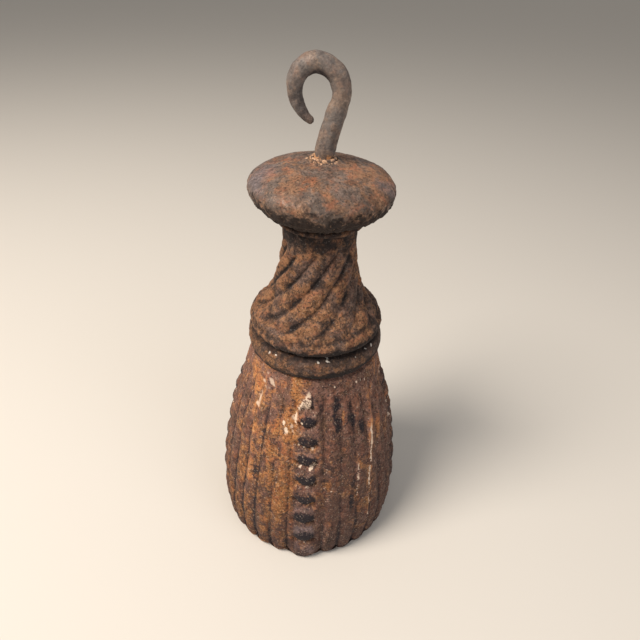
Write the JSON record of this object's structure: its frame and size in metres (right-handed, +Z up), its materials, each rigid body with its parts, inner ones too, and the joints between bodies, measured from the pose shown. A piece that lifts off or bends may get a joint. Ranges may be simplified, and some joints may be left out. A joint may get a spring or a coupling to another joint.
{
  "type": "hanging weight",
  "caption": "Tassel-shaped cast-iron hanging weight: ribbed bell body, collar ring, twisted neck and bun cap, with a forged hook that swivels in the cap. It stands on its flat base.",
  "frame": {"origin": "centre of the base, on the surface that the weight stands on", "axes": "+Z up along the weight's axis, -Y towards the front knotted rib, X in the plane of the hook at rest, with the hook's point towards -X"},
  "size_m": [0.0972, 0.0972, 0.2301],
  "materials": {
    "body_rust": "crusty ochre and brown rust",
    "neck_rust": "rusty, orange on the ridges, dark in the grooves",
    "cap_rust": "worn brown patina with orange patches",
    "dark_iron": "dark oxidised iron",
    "pale_scale": "pale orange scale",
    "forged_iron": "dark forged scale, slightly worn",
    "steel": "dull oxidised steel",
    "lead": "dull cast lead"
  },
  "bodies": {
    "weight": {"ribbed_body": "body_rust", "lead_ballast": "lead", "base_plate": "dark_iron", "collar_ring": "dark_iron", "twisted_neck": "neck_rust", "neck_moulding": "dark_iron", "cap": "cap_rust", "hook_bush": "pale_scale", "tie_bolt": "steel", "bolt_washer": "steel", "nut_washer": "steel", "tie_nut": "steel"},
    "hook": {"hook": "forged_iron", "hook_washer": "steel"}
  },
  "joints": [
    {"name": "hook_swivel", "type": "hinge", "parent": "weight", "child": "hook", "pos_m": [0, 0, 0.18], "axis": [0, 0, 1], "continuous": true}
  ]
}
